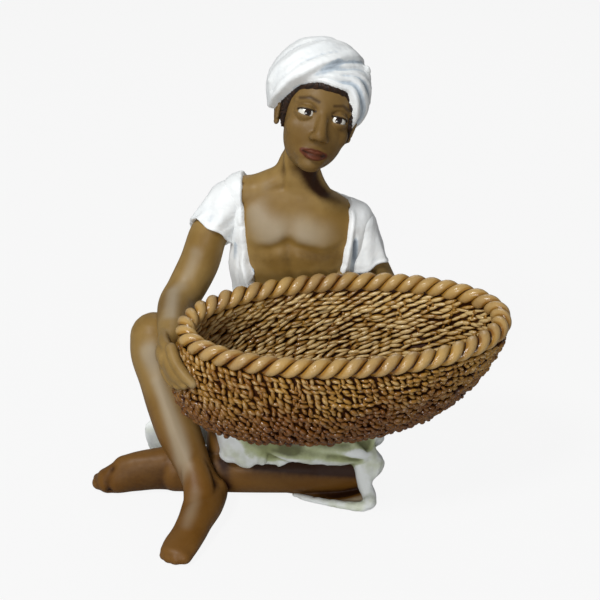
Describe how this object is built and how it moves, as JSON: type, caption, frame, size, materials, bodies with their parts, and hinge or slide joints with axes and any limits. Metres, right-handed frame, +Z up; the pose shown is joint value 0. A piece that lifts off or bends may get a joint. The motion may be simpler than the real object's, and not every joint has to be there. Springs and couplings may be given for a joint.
{
  "type": "figurine",
  "caption": "Seated figure in a turban, open shirt and wrapped skirt, holding a large oval woven basket on its lap.",
  "frame": {"origin": "on the resting plane, in the middle of the flat seat under the torso", "axes": "+Z up, -Y the way the figure faces, -X towards its right side, +X towards its left side"},
  "size_m": [0.1955, 0.1397, 0.2091],
  "materials": {
    "skin_paint": "semi-gloss brown paint on cast resin",
    "eye_gloss": "glossy paint",
    "hair_paint": "satin dark brown paint",
    "white_cloth_paint": "satin white paint on cast resin",
    "skirt_paint": "satin white paint, pale green in the folds",
    "basket_paint": "glossy golden brown paint with dark wash in the weave"
  },
  "bodies": {
    "root": {"torso": "skin_paint", "head": "skin_paint", "right_eye": "eye_gloss", "left_eye": "eye_gloss", "hair": "hair_paint", "turban": "white_cloth_paint", "shirt": "white_cloth_paint", "right_sleeve": "white_cloth_paint", "left_sleeve": "white_cloth_paint", "right_arm": "skin_paint", "left_arm": "skin_paint", "right_leg": "skin_paint", "left_leg": "skin_paint", "skirt": "skirt_paint", "basket_bowl": "basket_paint", "basket_rim_rope": "basket_paint"}
  },
  "joints": []
}
